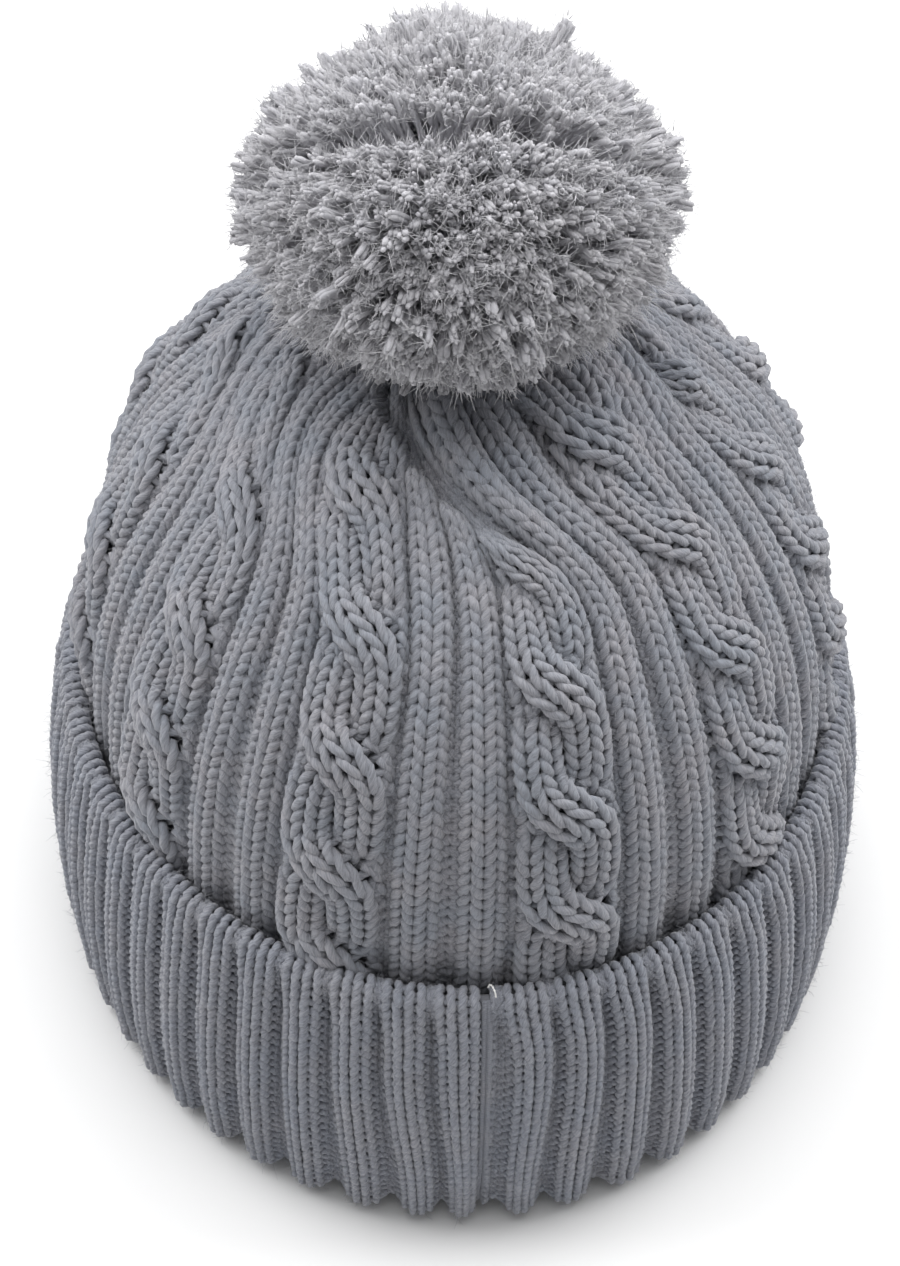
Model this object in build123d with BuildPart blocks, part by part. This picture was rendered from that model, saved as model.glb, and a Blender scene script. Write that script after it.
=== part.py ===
"""Cable-knit pom-pom beanie with a turned-up ribbed cuff. Millimetres, +Z up.

The hat stands on the bottom fold of its cuff, filled out as on a head. The origin is the centre of
that fold, in the plane it rests on. The back seam faces -Y. Every ring of the hat is an ellipse, so
each knitted layer is revolved about Z with its half width as radius, then stretched in Y by the
head's depth-to-width ratio.
"""

import os
from math import asin, cos, pi, sin, sqrt

from build123d import *

# --- Driving dimensions -------------------------------------------------------------------------
DEPTH_RATIO = 1.17            # front-to-back size over side-to-side size

# Half widths (along X) and heights of the knitted layers
CUFF_HEIGHT = 75.0
CUFF_HALF_WIDTH = 95.0        # widest, halfway up
CUFF_WALL = 5.1
FOLD_HALF_WIDTH = 90.3        # outer half width just above the fold
FOLD_HEIGHT = 8.0             # top of the U-turn, where the inner band starts
FOOT_WIDTH = 3.0              # flat strip that the fold rests on
FOOT_INSET = 2.6              # of that strip from the outer half width
FOOT_TRIM = 1.0               # cut off level under the fold
SKIN_BOTTOM = 4.0             # height where the fold's outer curve meets the wall
RIM_HALF_WIDTH = 92.3         # outer half width under the rolled rim
RIM_ROLL_HEIGHT = 5.0
RIM_WIDTH = 5.8
BAND_WALL = 4.5
BAND_GAP = 0.5                # between the cuff and the band behind it, halfway up
FOLD_GAP = 1.2                # the same just above the fold
BAND_TOP = 62.0               # where the ribbing ends and the cables start
CROWN_HALF_WIDTH = 85.6
CROWN_TOP = 173.6
CROWN_WALL = 5.0
CROWN_ROUNDNESS = 2.25        # 2 would be an ellipsoid, more is fuller at the shoulder
GATHER_HOLE_RADIUS = 6.0      # hole left where the top row of stitches is drawn together

# Back seam, label and threads
SEAM_WIDTH = 4.4
SEAM_HEIGHT = 3.0             # how far the seam allowance stands in from the fabric
SEAM_BOTTOM = 12.0
SEAM_TOP_RADIUS = 30.0        # the seam stops at this half width, under the gathers
CUFF_SEAM_WIDTH = 5.0
CUFF_SEAM_DEPTH = 1.2
CUFF_SEAM_BOTTOM = 6.0
CUFF_SEAM_TOP = 68.0
SEAM_CLEARANCE = 0.1
SKIN_CLEARANCE = 0.4
LABEL_WIDTH = 26.0
LABEL_LENGTH = 32.0
LABEL_THICKNESS = 0.8
LABEL_TOP = 68.0
LABEL_Y = -89.4
THREAD_RADIUS = 0.8
TACK_LOOP_RADIUS = 1.9
TACK_THREAD_RADIUS = 0.4

# Pom-pom and its tie
POMPOM_RADIUS = 42.0
POMPOM_CENTRE = 200.0         # height where it is widest
POMPOM_TOP = 235.0
POMPOM_LOWER_HALF = 24.0      # half height of the flatter curve below the widest part
POMPOM_UNDERSIDE = 180.5      # flat, so that the pom-pom can lean over the crown
POMPOM_EDGE_ROUND = 4.0
CORE_RADIUS = 6.0
TIE_RADIUS = 1.7
TIE_CLEARANCE = 0.3
PIVOT_HEIGHT = 176.0          # the pom-pom leans and twists about this point of the tie
SHANK_TOP = 177.5
WRAP_OUTER_RADIUS = 4.2
WRAP_INNER_RADIUS = 2.5
WRAP_HEIGHT = 2.6
STEM_BOTTOM = 179.6
KNOT_RADIUS = 4.6
KNOT_CENTRE = 160.6
KNOT_TAIL_LENGTH = 11.0
KNOT_TAIL_RADIUS = 1.1
KNOT_TAIL_ANGLE = 35.0        # from straight down

CURVE_STEPS = 14

os.makedirs("parts", exist_ok=True)

# --- Curves shared by the layers ----------------------------------------------------------------
cuff_mid_height = CUFF_HEIGHT / 2
rim_base = CUFF_HEIGHT - RIM_ROLL_HEIGHT
cuff_inner_mid = CUFF_HALF_WIDTH - CUFF_WALL
cuff_inner_top = RIM_HALF_WIDTH - RIM_WIDTH
band_outer_mid = cuff_inner_mid - BAND_GAP
cuff_inner_bottom = FOLD_HALF_WIDTH - CUFF_WALL + 1.5
band_outer_bottom = cuff_inner_bottom - FOLD_GAP
band_inner_bottom = band_outer_bottom - BAND_WALL
crown_skirt_inner = CROWN_HALF_WIDTH - CROWN_WALL


def crown_curve(half_width, top, end_radius):
    """Points of a dome from its base, where the cuff ends, in to end_radius near the axis."""
    rise = top - CUFF_HEIGHT
    end_level = (1 - (end_radius / half_width) ** 2) ** (1 / CROWN_ROUNDNESS)
    levels = [end_level * (1 - (1 - i / CURVE_STEPS) ** 2) for i in range(CURVE_STEPS + 1)]
    return [
        (half_width * sqrt(1 - level**CROWN_ROUNDNESS), CUFF_HEIGHT + rise * level)
        for level in levels
    ]


# --- Knitted body -------------------------------------------------------------------------------
# The band behind the cuff carries on up as the crown. Both are one knitted piece with the cuff.
with BuildPart() as crown_shell:
    outer = crown_curve(CROWN_HALF_WIDTH, CROWN_TOP, GATHER_HOLE_RADIUS)
    inner = crown_curve(crown_skirt_inner, CROWN_TOP - CROWN_WALL, GATHER_HOLE_RADIUS)
    with BuildSketch(Plane.XZ):
        with BuildLine():
            Line((crown_skirt_inner, BAND_TOP), (CROWN_HALF_WIDTH, BAND_TOP))
            Line((CROWN_HALF_WIDTH, BAND_TOP), outer[0])
            Spline(outer, tangents=[(0, 1), (-1, 0)])
            Line(outer[-1], inner[-1])
            Spline(inner[::-1], tangents=[(1, 0), (0, -1)])
            Line(inner[0], (crown_skirt_inner, BAND_TOP))
        make_face()
    revolve(axis=Axis.Z)
    scale(by=(1, DEPTH_RATIO, 1))

with BuildPart() as rib_band:
    with BuildSketch(Plane.XZ):
        with BuildLine():
            Line((band_inner_bottom, FOLD_HEIGHT), (band_outer_bottom, FOLD_HEIGHT))
            ThreePointArc(
                (band_outer_bottom, FOLD_HEIGHT),
                (band_outer_mid, cuff_mid_height),
                (CROWN_HALF_WIDTH, BAND_TOP),
            )
            Line((CROWN_HALF_WIDTH, BAND_TOP), (crown_skirt_inner, BAND_TOP))
            ThreePointArc(
                (crown_skirt_inner, BAND_TOP),
                (band_outer_mid - BAND_WALL, cuff_mid_height),
                (band_inner_bottom, FOLD_HEIGHT),
            )
        make_face()
    revolve(axis=Axis.Z)
    scale(by=(1, DEPTH_RATIO, 1))


def back_strip(width, depth, low, high):
    """Strip of the cuff's outer skin at the back, depth thick, between two heights."""
    with BuildPart() as strip:
        with BuildSketch(Plane.XZ):
            with BuildLine():
                skin = ThreePointArc(
                    (FOLD_HALF_WIDTH, SKIN_BOTTOM),
                    (CUFF_HALF_WIDTH, cuff_mid_height),
                    (RIM_HALF_WIDTH, rim_base),
                )
                Line(skin @ 1, (RIM_HALF_WIDTH - depth, rim_base))
                ThreePointArc(
                    (RIM_HALF_WIDTH - depth, rim_base),
                    (CUFF_HALF_WIDTH - depth, cuff_mid_height),
                    (FOLD_HALF_WIDTH - depth, SKIN_BOTTOM),
                )
                Line((FOLD_HALF_WIDTH - depth, SKIN_BOTTOM), skin @ 0)
            make_face()
        revolve(axis=Axis.Z)
        scale(by=(1, DEPTH_RATIO, 1))
        with Locations((0, -CUFF_HALF_WIDTH * DEPTH_RATIO, (low + high) / 2)):
            Box(width, CUFF_HALF_WIDTH, high - low, mode=Mode.INTERSECT)
    return strip.part


# The joined edges of the ribbing, and the groove that they lie in
cuff_seam_groove = back_strip(
    CUFF_SEAM_WIDTH + 2 * SEAM_CLEARANCE,
    CUFF_SEAM_DEPTH + SEAM_CLEARANCE,
    CUFF_SEAM_BOTTOM - SEAM_CLEARANCE,
    CUFF_SEAM_TOP + SEAM_CLEARANCE,
)
with BuildPart() as cuff_seam:
    add(back_strip(CUFF_SEAM_WIDTH, CUFF_SEAM_DEPTH, CUFF_SEAM_BOTTOM, CUFF_SEAM_TOP))

# Outer wall, rolled rim and the U-turn at the bottom in one solid
with BuildPart() as cuff:
    foot_outer = FOLD_HALF_WIDTH - FOOT_INSET
    foot_inner = foot_outer - FOOT_WIDTH
    with BuildSketch(Plane.XZ):
        with BuildLine():
            Line((foot_inner, -FOOT_TRIM), (foot_outer, -FOOT_TRIM))
            Line((foot_outer, -FOOT_TRIM), (foot_outer, 0))
            foot_curve = TangentArc((foot_outer, 0), (FOLD_HALF_WIDTH, SKIN_BOTTOM), tangent=(1, 0))
            ThreePointArc(
                foot_curve @ 1,
                (CUFF_HALF_WIDTH, cuff_mid_height),
                (RIM_HALF_WIDTH, rim_base),
            )
            ThreePointArc(
                (RIM_HALF_WIDTH, rim_base),
                (RIM_HALF_WIDTH - RIM_WIDTH / 2, CUFF_HEIGHT),
                (cuff_inner_top, rim_base),
            )
            ThreePointArc(
                (cuff_inner_top, rim_base),
                (cuff_inner_mid, cuff_mid_height),
                (cuff_inner_bottom, FOLD_HEIGHT),
            )
            Line((cuff_inner_bottom, FOLD_HEIGHT), (band_inner_bottom, FOLD_HEIGHT))
            ThreePointArc(
                (band_inner_bottom, FOLD_HEIGHT),
                (band_inner_bottom + FOOT_WIDTH / 5, FOLD_HEIGHT / 3),
                (foot_inner, 0),
            )
            Line((foot_inner, 0), (foot_inner, -FOOT_TRIM))
        make_face()
    revolve(axis=Axis.Z)
    scale(by=(1, DEPTH_RATIO, 1))
    split(bisect_by=Plane.XY, keep=Keep.TOP)
    add(cuff_seam_groove, mode=Mode.SUBTRACT)

# --- Seam allowance inside the back -------------------------------------------------------------
with BuildPart() as back_seam:
    near = SKIN_CLEARANCE
    far = SKIN_CLEARANCE + SEAM_HEIGHT
    rise_near = crown_curve(crown_skirt_inner - near, CROWN_TOP - CROWN_WALL - near, SEAM_TOP_RADIUS)
    rise_far = crown_curve(crown_skirt_inner - far, CROWN_TOP - CROWN_WALL - far, SEAM_TOP_RADIUS)
    band_mid = (band_outer_mid - BAND_WALL, cuff_mid_height)
    with BuildSketch(Plane.XZ):
        with BuildLine():
            ThreePointArc(
                (band_inner_bottom - near, SEAM_BOTTOM),
                (band_mid[0] - near, band_mid[1]),
                (crown_skirt_inner - near, BAND_TOP),
            )
            Line((crown_skirt_inner - near, BAND_TOP), rise_near[0])
            Spline(rise_near)
            Line(rise_near[-1], rise_far[-1])
            Spline(rise_far[::-1])
            Line(rise_far[0], (crown_skirt_inner - far, BAND_TOP))
            ThreePointArc(
                (crown_skirt_inner - far, BAND_TOP),
                (band_mid[0] - far, band_mid[1]),
                (band_inner_bottom - far, SEAM_BOTTOM),
            )
            Line((band_inner_bottom - far, SEAM_BOTTOM), (band_inner_bottom - near, SEAM_BOTTOM))
        make_face()
    revolve(axis=Axis.Z)
    scale(by=(1, DEPTH_RATIO, 1))
    with Locations((0, -CUFF_HALF_WIDTH, CROWN_TOP / 2)):
        Box(SEAM_WIDTH, 2 * CUFF_HALF_WIDTH, 2 * CROWN_TOP, mode=Mode.INTERSECT)

# --- Threads and label --------------------------------------------------------------------------
# Drawstring through the top row of stitches
with BuildPart() as gather_thread:
    with Locations((0, 0, CROWN_TOP - CROWN_WALL / 2)):
        Torus(GATHER_HOLE_RADIUS - THREAD_RADIUS - TIE_CLEARANCE, THREAD_RADIUS)

# Loop of thread that holds the rim of the cuff to the crown at the seam
with BuildPart() as cuff_tack_stitch:
    rim_crest = (RIM_HALF_WIDTH - RIM_WIDTH / 2) * DEPTH_RATIO
    with Locations((0, -rim_crest + TACK_LOOP_RADIUS, CUFF_HEIGHT + TACK_THREAD_RADIUS)):
        Torus(TACK_LOOP_RADIUS, TACK_THREAD_RADIUS, rotation=(0, 90, 0))
    with Locations((0, -rim_crest, CUFF_HEIGHT - TACK_LOOP_RADIUS)):
        Box(10, 20, 2 * TACK_LOOP_RADIUS + TACK_THREAD_RADIUS, mode=Mode.SUBTRACT)

# Blank folded label, sewn in along its top edge
with BuildPart() as care_label:
    with Locations((0, LABEL_Y, LABEL_TOP - LABEL_LENGTH / 2)):
        Box(LABEL_WIDTH, LABEL_THICKNESS, LABEL_LENGTH)
    fillet(care_label.edges().filter_by(Axis.X), LABEL_THICKNESS * 0.4)

# --- Pom-pom ------------------------------------------------------------------------------------
def half_ellipse(half_height, first, last):
    """Points of the pom-pom's outline about its widest level, between two angles."""
    angles = [first + (last - first) * i / CURVE_STEPS for i in range(CURVE_STEPS + 1)]
    return [
        (POMPOM_RADIUS * cos(angle), POMPOM_CENTRE + half_height * sin(angle)) for angle in angles
    ]


with BuildPart() as pompom_ball:
    underside_drop = POMPOM_CENTRE - POMPOM_UNDERSIDE
    underside_angle = -asin(underside_drop / POMPOM_LOWER_HALF)
    lower_curve = half_ellipse(POMPOM_LOWER_HALF, underside_angle, 0)
    upper_curve = half_ellipse(POMPOM_TOP - POMPOM_CENTRE, 0, pi / 2)
    with BuildSketch(Plane.XZ):
        with BuildLine():
            Line((0, POMPOM_UNDERSIDE), lower_curve[0])
            Spline(lower_curve)
            Spline(upper_curve, tangents=[(0, 1), (-1, 0)])
            Line(upper_curve[-1], (0, POMPOM_UNDERSIDE))
        make_face()
    revolve(axis=Axis.Z)
    fillet(pompom_ball.edges().group_by(Axis.Z)[0], POMPOM_EDGE_ROUND)
    with Locations((0, 0, POMPOM_CENTRE)):
        Sphere(CORE_RADIUS + TIE_CLEARANCE, mode=Mode.SUBTRACT)
    with Locations((0, 0, (POMPOM_CENTRE + POMPOM_UNDERSIDE) / 2 - 1)):
        Cylinder(TIE_RADIUS + TIE_CLEARANCE, underside_drop + 2, mode=Mode.SUBTRACT)

# Wound core that all strands pass through, with the stem that ties it to the hat
with BuildPart() as pompom_binding:
    with Locations((0, 0, POMPOM_CENTRE)):
        Sphere(CORE_RADIUS)
    with Locations((0, 0, (STEM_BOTTOM + POMPOM_CENTRE) / 2)):
        Cylinder(TIE_RADIUS, POMPOM_CENTRE - STEM_BOTTOM)

# Tie that passes through the gather hole
with BuildPart() as tie_shank:
    shank_bottom = KNOT_CENTRE + KNOT_RADIUS + TIE_CLEARANCE
    with Locations((0, 0, (shank_bottom + SHANK_TOP) / 2)):
        Cylinder(TIE_RADIUS, SHANK_TOP - shank_bottom)
    fillet(tie_shank.edges().filter_by(GeomType.CIRCLE), TIE_RADIUS / 3)

# Turns of thread wound round the tie where the pom-pom meets the crown
with BuildPart() as neck_wrap:
    with Locations((0, 0, PIVOT_HEIGHT)):
        Cylinder(WRAP_OUTER_RADIUS, WRAP_HEIGHT)
        Cylinder(WRAP_INNER_RADIUS, WRAP_HEIGHT, mode=Mode.SUBTRACT)
    fillet(neck_wrap.edges().filter_by(GeomType.CIRCLE), 0.5)

# Knot inside the crown with two clipped ends
with BuildPart() as anchor_knot:
    with Locations((0, 0, KNOT_CENTRE)):
        Sphere(KNOT_RADIUS)
    for side in (-1, 1):
        tail_plane = Plane.XY.offset(KNOT_CENTRE).rotated((0, side * (180 - KNOT_TAIL_ANGLE), 0))
        with BuildSketch(tail_plane):
            Circle(KNOT_TAIL_RADIUS)
        extrude(amount=KNOT_TAIL_LENGTH)

pieces = {
    "crown_shell": crown_shell,
    "rib_band": rib_band,
    "cuff": cuff,
    "cuff_seam": cuff_seam,
    "back_seam": back_seam,
    "gather_thread": gather_thread,
    "cuff_tack_stitch": cuff_tack_stitch,
    "care_label": care_label,
    "pompom_ball": pompom_ball,
    "pompom_binding": pompom_binding,
    "tie_shank": tie_shank,
    "neck_wrap": neck_wrap,
    "anchor_knot": anchor_knot,
}
for name, piece in pieces.items():
    piece.part.label = name
    export_step(piece.part, f"parts/{name}.step")
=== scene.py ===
"""Looks of the cable-knit beanie: knitting yarn by yarn, a cut-yarn pom-pom, threads and label.

Everything is built in millimetres in the frame of the CAD part and written to Blender in metres.
The fabric is laid out by three numbers: the fraction of the way round the hat from the back seam,
the distance along the fabric's profile, and the lift off the middle of the fabric.
"""

from collections import namedtuple

import bpy
import numpy as np
from mathutils import Matrix, Vector


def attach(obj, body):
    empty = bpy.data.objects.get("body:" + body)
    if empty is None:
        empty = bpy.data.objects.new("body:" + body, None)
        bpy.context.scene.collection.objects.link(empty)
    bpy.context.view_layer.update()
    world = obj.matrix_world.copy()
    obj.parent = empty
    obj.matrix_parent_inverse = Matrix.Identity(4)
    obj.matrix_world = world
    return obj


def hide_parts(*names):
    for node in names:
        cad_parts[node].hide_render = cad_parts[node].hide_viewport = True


MM = 0.001
DEPTH_RATIO = 1.17  # how much deeper than wide every ring of the hat is

# --- Knitted layers: half widths across X and heights ---
CROWN_HALF_WIDTH = 85.6
CROWN_BASE = 75.0
CROWN_TOP = 173.6
CROWN_ROUNDNESS = 2.25
CROWN_HALF_THICKNESS = 2.9
CROWN_START = 58.0
GATHER_RADIUS = 6.5
CUFF_MID = (95.5, 37.5)
CUFF_UNDER_RIM = (92.5, 69.0)
CUFF_OVER_FOLD = (93.2, 7.0)
CUFF_FLARE = 4.0  # how much further out the bottom of the cuff stands at the back
CUFF_HALF_THICKNESS = 2.5
RIM_RADIUS = 2.0  # of the rolled rim, to the middle of the fabric
FOLD_DROP = 4.4  # how far the fabric's middle drops from where the fold starts
BAND_BOTTOM = (83.3, 9.0)
BAND_MID = (87.1, 37.5)
BAND_TOP = (83.1, 60.0)

# --- Stitches ---
LOOP_SAMPLES = 12
YARN_SIDES = 6
# Unevenness of the hand: along the fabric, across it in columns, and in and out of it
UNEVEN_ALONG = 0.10
UNEVEN_ACROSS = 0.012
UNEVEN_LIFT = 0.07
# lean: how far the legs of a stitch slant, 0.5 is upright. reach: how far its loops go up and down
# from their row, and depth: in and out. yarn: the radius of its yarn
Stitch = namedtuple("Stitch", "lean reach depth yarn")
CROWN_STITCH = Stitch(lean=1.45, reach=2.55, depth=0.95, yarn=1.2)
CROWN_ROW = 2.75
CROWN_FIRST_ROW = 3.6  # from the start of its profile, and what stays free at the gather hole
CROWN_LAST_GAP = 4.0
CROWN_KINDS = "kkkkpkkpkkp"  # a cable of four knit columns, then two ribs between purl columns
PATTERN = len(CROWN_KINDS)
PANEL_START = 3.55  # column where the rows between two cables start
PANEL_COLUMNS = 7.9
RIB_MIDDLES = (6.0, 9.0)
RIB_BORDER = 7.5
CABLE_STITCH = 5.85
RIB_STITCH = 5.2
CABLE_PURL = 2.3
RIB_PURL = 4.3
CROWN_REPEATS = 11
CROWN_RIB_RISE = 0.8  # off the middle of the fabric
CROWN_PURL_SINK = 2.4
CABLE_OFFSET = -34.7  # from the back seam to the nearest cable on the left, at the crown's base
CABLE_TURN = 25.5  # height of one crossing
CABLE_PHASE = 0.92  # where in a crossing the first cable starts, and how much further on the next one does
CABLE_PHASE_STEP = 0.37
CABLE_SNAP = 0.38  # 0 is an even rope, more crosses quicker and runs straighter between crossings
CABLE_SWING = 1.04  # sideways swing of a strand, in stitches
CABLE_MIDDLE = 2.0  # column
CABLE_DOME = 2.4  # how high a strand stands, how much its edges fall off and how steeply
CABLE_FALL = 1.9
CABLE_FALL_POWER = 2.6
CABLE_OVER = 2.6  # how far a strand rises over its partner and sinks under it
CABLE_TUCK = 3.6  # how steeply the last of its edge goes down into the fabric
CABLE_YARN = 0.95 * CROWN_STITCH.yarn
CUFF_STITCH = Stitch(lean=1.05, reach=2.1, depth=0.65, yarn=0.98)
CUFF_ROW = 2.3
RIB_KINDS = "ppkk"
CUFF_REPEATS = 54
CUFF_KNIT = 4.15
CUFF_PURL = 1.7
CUFF_RIB_RISE = 0.9
CUFF_PURL_SINK = 3.1
# Down the cuff, as shares of its profile from the rim: width of the purl columns, depth of the gaps
CUFF_PURL_WIDTH = ((0, 0.08, 0.2, 0.5, 0.9), (0.30, 0.35, 0.75, 1.0, 1.5))
CUFF_RELIEF = ((0, 0.07, 0.15, 0.86, 1), (0.0, 0.12, 1, 1, 0.3))
EVEN = ((0, 1), (1, 1))
FIRST_GAP = 1.6  # how much wider the purl columns next to the seam are
SEAM_LEFT = -0.9  # edges of the gap in the ribbing that the seam fills
SEAM_RIGHT = 1.9
PINCH = 0.012  # how far the ribs beside the seam lean to it towards the fold, as a share of the ring
PINCH_WIDTH = 0.04

# Folds under the pom-pom, in millimetres round the crown's base from the back seam: left and right
# edge at the top, where the fold opens, and how narrow the crown is, beside its base, at that height
FOLDS = (
    (-50.0, 31.0, 31.0, 0.62),
    (43.0, 49.0, 46.0, 0.42),
    (102.0, 136.0, 119.0, 0.60),
    (-182.0, -126.0, -150.0, 0.68),
    (163.0, 243.0, 205.0, 0.66),
    (-264.0, -192.0, -228.0, 0.66),
    (253.0, 313.0, 285.0, 0.62),
    (-99.0, -77.0, -88.0, 0.50),
)
# Fabric beside the main fold that stays spread out: left and right edge, and how much wider it lies
SPREAD = ((-76.0, -4.0, 0.30), (31.0, 62.0, 0.15), (62.0, 150.0, 0.05))
SPREAD_NARROWING = (0.42, 0.78)  # narrowness where that is full and where it starts
FOLD_DEPTH = 3.6
FOLD_LIP = 2.6  # how high the fabric stands beside a wide fold
FOLD_HIDES = 0.93  # how much of the fabric's width a closed fold takes away
FOLD_RUN = 0.34  # how much narrower the crown is where a fold is fully closed
FOLD_SMOOTHING = 77  # levels of the crown over which its columns swing aside
# The main fold runs up to the left: narrowness of the crown, and the fold's place round it
MAIN_FOLD_NARROWING = (0.0, 0.12, 0.18, 0.24, 0.34, 0.39, 0.44, 0.49, 0.62)
MAIN_FOLD_FRACTION = (-0.28, -0.18, -0.13, -0.10, -0.072, -0.047, -0.024, -0.009, 0.0)

# --- Pom-pom ---
POMPOM_CENTRE = (-3.0, 0.0, 200.0)
POMPOM_RADIUS = 42.0
POMPOM_UPPER = 32.8
POMPOM_LOWER = 24.0
POMPOM_UNDERSIDE = 180.5
POMPOM_STRANDS = 6000
POMPOM_TUFTS = 120  # the strands gather in this many tufts
POMPOM_CORE = 7.0  # where the strands start from its middle
STRAND_RADIUS = 0.56
STRAND_STEPS = (0, 0.35, 0.55, 0.68, 0.78, 0.86, 0.93, 0.975, 1.0)  # closer at the cut end
STRAY_COUNT = 7
STRAY_LENGTHS = (40, 46)  # shortest and longest
LOWEST_STRANDS = 520
LOWEST_RADIUS = 0.50
LOWEST_START = (4.5, 179.0)  # distance from the axis, and height
LOWEST_REACH = (10, 18)  # how far out their ends lie: the nearest, and the room beyond
LOWEST_RISE = (1.5, 5.5)  # how far their ends lie off the crown's skin, in the same way
FLUFF_PER_STRAND = 17
FLUFF_LENGTH = 2.3
FLUFF_RADIUS = 0.085
POMPOM_PARTING = np.array([0.06, 0.95, 0.30])  # square to the parting that runs across its top
PARTING_PUSH = 0.09  # how far strands lean away from the parting, and how wide it is
PARTING_WIDTH = 0.16
POMPOM_STRAY = np.array([0.45, 0.62, 0.62])  # where a few longer strands stand out
TUFT_PULL = 0.16  # how far strands lean to the middle of their tuft, and how far they scatter
STRAND_SCATTER = 0.08

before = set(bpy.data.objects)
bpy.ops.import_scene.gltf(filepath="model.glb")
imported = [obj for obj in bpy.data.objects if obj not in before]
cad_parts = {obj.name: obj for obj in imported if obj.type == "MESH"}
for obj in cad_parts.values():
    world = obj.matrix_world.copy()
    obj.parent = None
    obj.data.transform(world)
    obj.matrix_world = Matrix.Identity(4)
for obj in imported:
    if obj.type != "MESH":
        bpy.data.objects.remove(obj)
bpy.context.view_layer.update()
random = np.random.default_rng(11)


# --- Meshes ---
def add_mesh(name, points, quads, polygons=None, uvs=None):
    """An object from points in millimetres, quads and polygons with more corners."""
    mesh = bpy.data.meshes.new(name)
    points = np.ascontiguousarray(points, dtype=np.float32).reshape(-1, 3) * MM
    corners = [quads.reshape(-1)]
    counts = [np.full(len(quads), 4)]
    if polygons is not None:
        corners.append(polygons.reshape(-1))
        counts.append(np.full(len(polygons), polygons.shape[1]))
    corners = np.concatenate(corners).astype(np.int32)
    counts = np.concatenate(counts)
    starts = np.concatenate([[0], np.cumsum(counts)[:-1]]).astype(np.int32)
    mesh.vertices.add(len(points))
    mesh.vertices.foreach_set("co", points.reshape(-1))
    mesh.loops.add(len(corners))
    mesh.loops.foreach_set("vertex_index", corners)
    mesh.polygons.add(len(starts))
    mesh.polygons.foreach_set("loop_start", starts)
    mesh.update(calc_edges=True)
    for layer, values in (uvs or {}).items():
        data = mesh.uv_layers.new(name=layer).data
        data.foreach_set("uv", np.ascontiguousarray(values, dtype=np.float32).reshape(-1))
    mesh.shade_smooth()
    piece = bpy.data.objects.new(name, mesh)
    bpy.context.scene.collection.objects.link(piece)
    return piece


def faces_between(first, second, third, fourth):
    """Quads from arrays of their corners."""
    return np.stack([first, second, third, fourth], -1).reshape(-1, 4)


def unit(vectors):
    """Vectors scaled to length 1."""
    return vectors / np.maximum(np.linalg.norm(vectors, axis=-1, keepdims=True), 1e-9)


def tube_points(lines, radii, across, sides):
    """Rings of points round lines, an array of lines by points by 3. across points off each line."""
    along = unit(np.gradient(lines, axis=1))
    side = unit(np.cross(along, across))
    over = np.cross(side, along)
    turn = np.arange(sides) * (2 * np.pi / sides)
    ring = np.cos(turn)[:, None] * side[:, :, None] + np.sin(turn)[:, None] * over[:, :, None]
    return lines[:, :, None] + np.asarray(radii)[..., None, None] * ring


def tube_faces(lines, points, sides):
    """(quads, end caps) of tubes whose rings lie one after another."""
    ring = np.arange(sides)
    corner = np.arange(lines * points).reshape(lines, points)[:, :, None] * sides
    here, after = corner[:, :-1] + ring, corner[:, 1:] + ring
    here_next, after_next = corner[:, :-1] + (ring + 1) % sides, corner[:, 1:] + (ring + 1) % sides
    quads = np.stack([here, after, after_next, here_next], -1).reshape(-1, 4)
    caps = np.concatenate([corner[:, 0] + ring, corner[:, -1] + ring[::-1]])
    return quads, caps


def tube_uvs(lines, points, sides, length, wraps=1):
    """Bake map and yarn map of tubes. The bake map gives each tube its own strips."""
    segments = points - 1
    per_strip = -(-segments // wraps)
    segment = np.arange(segments)
    left = (segment % per_strip) / per_strip
    strip = np.arange(lines)[:, None] * wraps + segment // per_strip
    u = np.stack([left, left + 1 / per_strip, left + 1 / per_strip, left], -1)
    ring = np.arange(sides)
    v = np.stack([ring, ring, ring + 1, ring + 1], -1) / sides
    bake_v = (strip[:, :, None, None] + 0.06 + 0.88 * v) / (lines * wraps)
    shape = (lines, segments, sides, 4)
    bake = np.stack([np.broadcast_to(u[:, None], shape), np.broadcast_to(bake_v, shape)], -1)
    step = length / segments
    yarn_u = (segment * step)[:, None] + np.array([0, step, step, 0])
    shift = np.arange(lines)[:, None, None, None] * 7.31
    yarn = np.stack([np.broadcast_to(yarn_u[:, None] + shift, shape), np.broadcast_to(v, shape)], -1)
    maps = {"OFBake": bake, "Yarn": yarn}
    for layer, grid in maps.items():
        parts = (grid, grid[:, 0, :, 0], grid[:, -1, :, 1])
        maps[layer] = np.concatenate([part.reshape(-1, 2) for part in parts])
    return maps


def add_tubes(name, lines, radii, across, sides=YARN_SIDES, length=100.0, wraps=1):
    """One mesh of closed tubes, all with the same number of points."""
    count, points = lines.shape[:2]
    rings = tube_points(lines, radii, across, sides)
    quads, caps = tube_faces(count, points, sides)
    return add_mesh(name, rings, quads, caps, tube_uvs(count, points, sides, length, wraps))


# --- Where the fabric lies ---
ring_angles = np.linspace(0, 2 * np.pi, 1441)
ring_steps = np.hypot(np.cos(ring_angles), DEPTH_RATIO * np.sin(ring_angles))
ring_arc = np.concatenate([[0], np.cumsum((ring_steps[1:] + ring_steps[:-1]) / 2)])
RING_LENGTH = ring_arc[-1] * (ring_angles[1] - ring_angles[0])  # for a half width of 1
ring_fractions = ring_arc / ring_arc[-1]


def ring_angle(fraction):
    """Angle from the back seam, towards +X, at a fraction of the way round."""
    return np.interp(fraction % 1.0, ring_fractions, ring_angles)


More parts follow.
